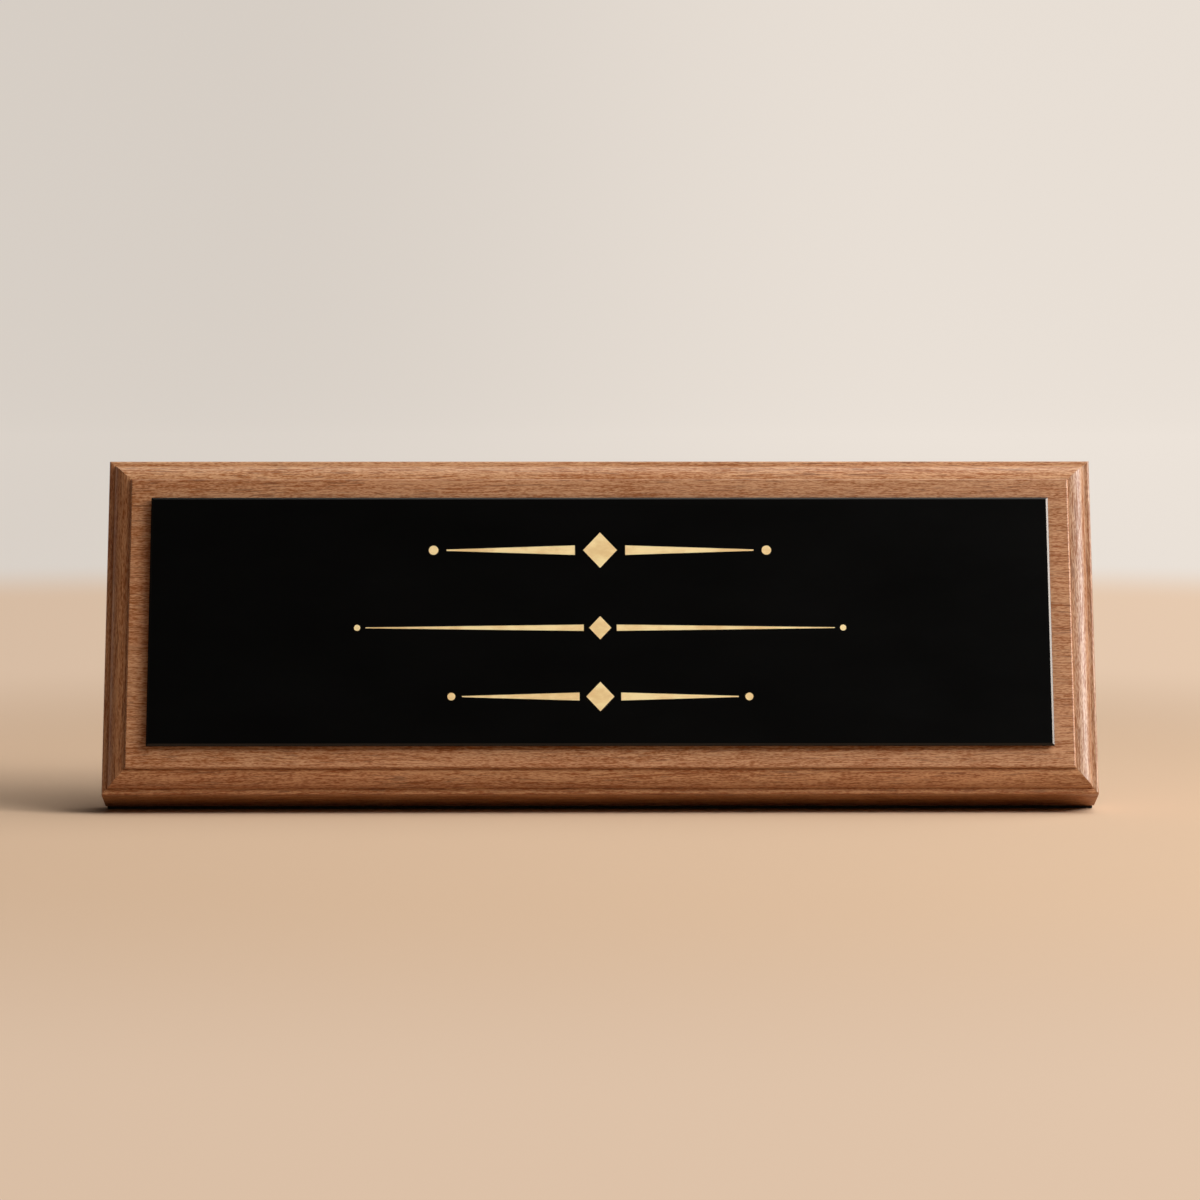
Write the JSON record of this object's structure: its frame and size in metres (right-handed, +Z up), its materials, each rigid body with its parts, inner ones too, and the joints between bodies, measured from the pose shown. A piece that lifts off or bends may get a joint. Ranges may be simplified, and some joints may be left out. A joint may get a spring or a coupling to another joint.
{
  "type": "desk name plate",
  "caption": "Walnut desk name plate that leans back on a wedge: a raised panel with mitred, moulded edges carries a black metal plate with bevelled edges.",
  "frame": {"origin": "on the desk, in the middle of the object's outer box", "axes": "+X across the plate to the reader's right, +Y from the front to the back, +Z up"},
  "size_m": [0.254, 0.064, 0.0885],
  "materials": {
    "panel_walnut": "satin oiled walnut, grain across",
    "lipping_walnut": "satin oiled walnut, grain along each strip",
    "wedge_walnut": "satin oiled walnut, grain across",
    "tongue_wood": "bare beech",
    "black_plate": "satin black face, glossy black bevel",
    "foam_tape": "matt closed foam",
    "screw_brass": "plain turned brass",
    "black_felt": "pressed wool felt"
  },
  "bodies": {
    "root": {"field_panel": "panel_walnut", "lipping_top": "lipping_walnut", "lipping_bottom": "lipping_walnut", "lipping_left": "lipping_walnut", "lipping_right": "lipping_walnut", "tongue_top": "tongue_wood", "tongue_bottom": "tongue_wood", "tongue_left": "tongue_wood", "tongue_right": "tongue_wood", "name_plate": "black_plate", "tape_upper": "foam_tape", "tape_lower": "foam_tape", "rear_wedge": "wedge_walnut", "wedge_screws": "screw_brass", "felt_front": "black_felt", "felt_rear": "black_felt"}
  },
  "joints": []
}
